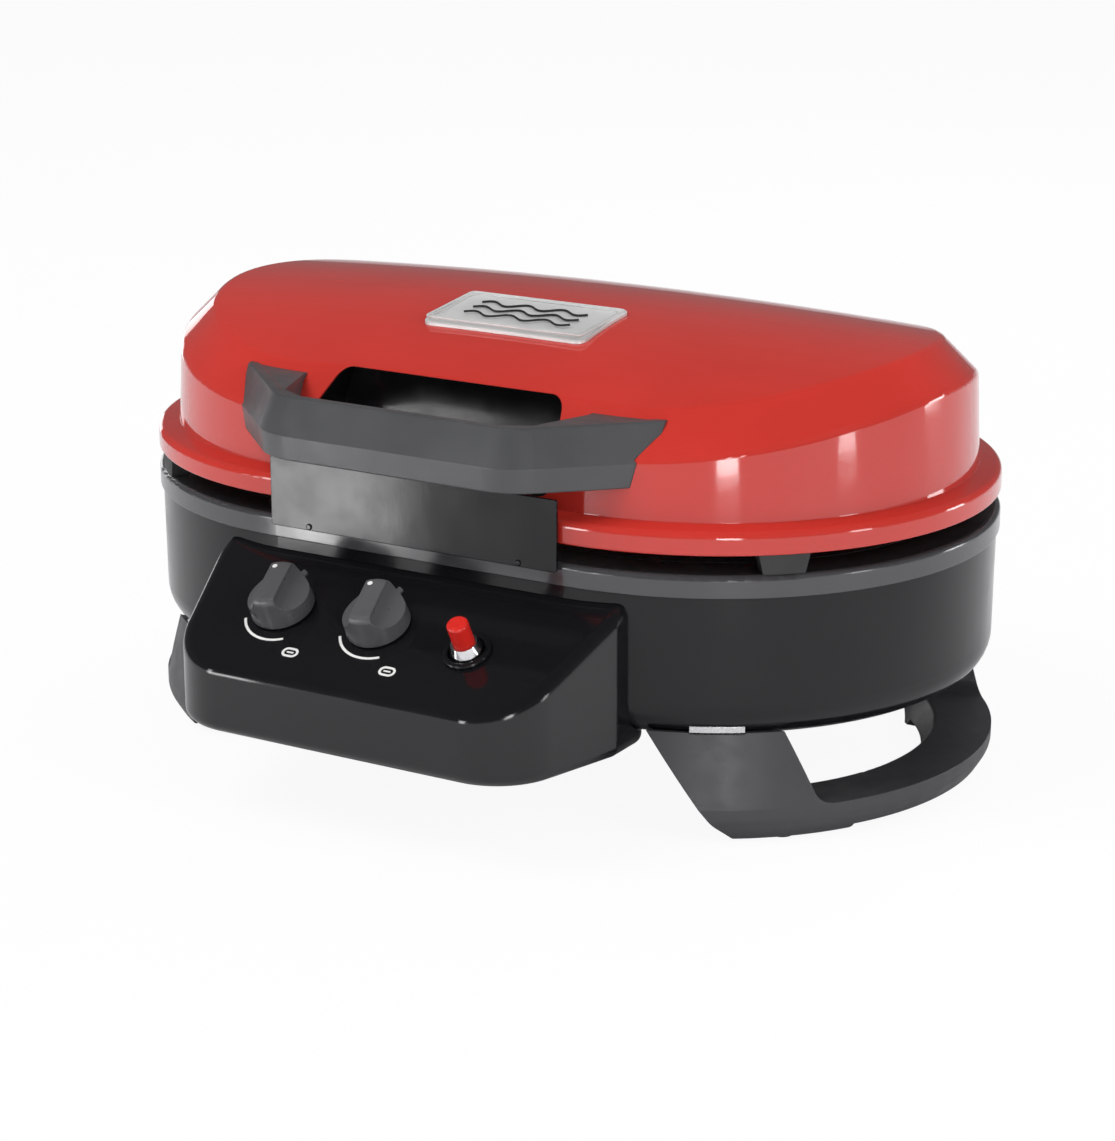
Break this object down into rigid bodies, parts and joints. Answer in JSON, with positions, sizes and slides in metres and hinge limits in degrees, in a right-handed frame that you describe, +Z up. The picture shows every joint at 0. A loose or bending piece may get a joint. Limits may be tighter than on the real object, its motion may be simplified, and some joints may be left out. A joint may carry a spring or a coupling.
{
  "type": "portable tabletop grill",
  "caption": "Portable tabletop gas grill with a hinged rounded lid, fire bowl with lift-out grates, sloping control box and moulded end legs.",
  "frame": {"origin": "on the table plane, under the centre of the body's end-to-end line", "axes": "+X along the long axis towards the right end, -Y towards the front with the controls, +Z up"},
  "size_m": [0.61, 0.4995, 0.3039],
  "materials": {
    "red_enamel": "gloss enamel",
    "black_enamel": "gloss enamel",
    "dark_enamel": "satin enamel",
    "black_gloss_plastic": "gloss",
    "black_plastic": "matte",
    "handle_grey": "fine moulded grain",
    "leg_grey": "fine moulded grain",
    "knob_grey": "satin",
    "white_print": "satin ink",
    "steel": "zinc plated",
    "pan_aluminium": "rolled sheet",
    "cast_iron": "porcelain coated",
    "brass": "machined",
    "plate_aluminium": "brushed",
    "red_button": "gloss",
    "chrome": "polished",
    "rubber": "matte",
    "ceramic": "glazed"
  },
  "bodies": {
    "base": {"burner_left": "steel", "burner_right": "steel", "burner_straps": "steel", "control_box": "black_gloss_plastic", "control_box_cover": "black_plastic", "cover_screws": "steel", "drip_pan": "pan_aluminium", "electrode": "ceramic", "fire_bowl": "black_enamel", "foot_pads": "rubber", "front_guard": "black_enamel", "gas_inlet_fitting": "brass", "gas_manifold": "steel", "grate_ring": "dark_enamel", "guard_rivets": "black_enamel", "hinge_lower_leaves": "steel", "hinge_rivets_base": "steel", "igniter_bezel": "black_gloss_plastic", "igniter_body": "black_plastic", "igniter_collar": "chrome", "ignition_wire": "black_plastic", "leg_brackets": "steel", "leg_left": "leg_grey", "leg_right": "leg_grey", "leg_screws": "steel", "lid_rest_blocks": "black_plastic", "panel_marks": "white_print", "valve_left": "brass", "valve_right": "brass"},
    "lid": {"handle_screws": "steel", "hinge_pins": "steel", "hinge_rivets_lid": "steel", "hinge_upper_leaves": "steel", "lid_handle": "handle_grey", "lid_recess_pan": "black_enamel", "lid_shell": "red_enamel", "nameplate": "plate_aluminium", "nameplate_pins": "steel"},
    "knob_left": {"knob_left": "knob_grey", "knob_dot_left": "white_print", "valve_stem_left": "steel"},
    "knob_right": {"knob_right": "knob_grey", "knob_dot_right": "white_print", "valve_stem_right": "steel"},
    "igniter_button": {"igniter_button": "red_button"},
    "grate_left": {"grate_left": "cast_iron"},
    "grate_right": {"grate_right": "cast_iron"}
  },
  "joints": [
    {"name": "lid_hinge", "type": "hinge", "parent": "base", "child": "lid", "pos_m": [0, 0.2035, 0.1845], "axis": [-1, 0, 0], "range_deg": [0, 95]},
    {"name": "knob_left_turn", "type": "hinge", "parent": "base", "child": "knob_left", "pos_m": [-0.074, -0.23784, 0.13146], "axis": [0, -0.472, 0.8816], "range_deg": [0, 180]},
    {"name": "knob_right_turn", "type": "hinge", "parent": "base", "child": "knob_right", "pos_m": [0, -0.23784, 0.13146], "axis": [0, -0.472, 0.8816], "range_deg": [0, 180]},
    {"name": "igniter_press", "type": "slide", "parent": "base", "child": "igniter_button", "axis": [0, 0.472, -0.8816], "range_m": [0, 0.004], "stiffness_N_per_m": 400},
    {"name": "grate_left_lift", "type": "slide", "parent": "base", "child": "grate_left", "axis": [0, 0, 1], "range_m": [0, 0.034]},
    {"name": "grate_right_lift", "type": "slide", "parent": "base", "child": "grate_right", "axis": [0, 0, 1], "range_m": [0, 0.034]}
  ]
}
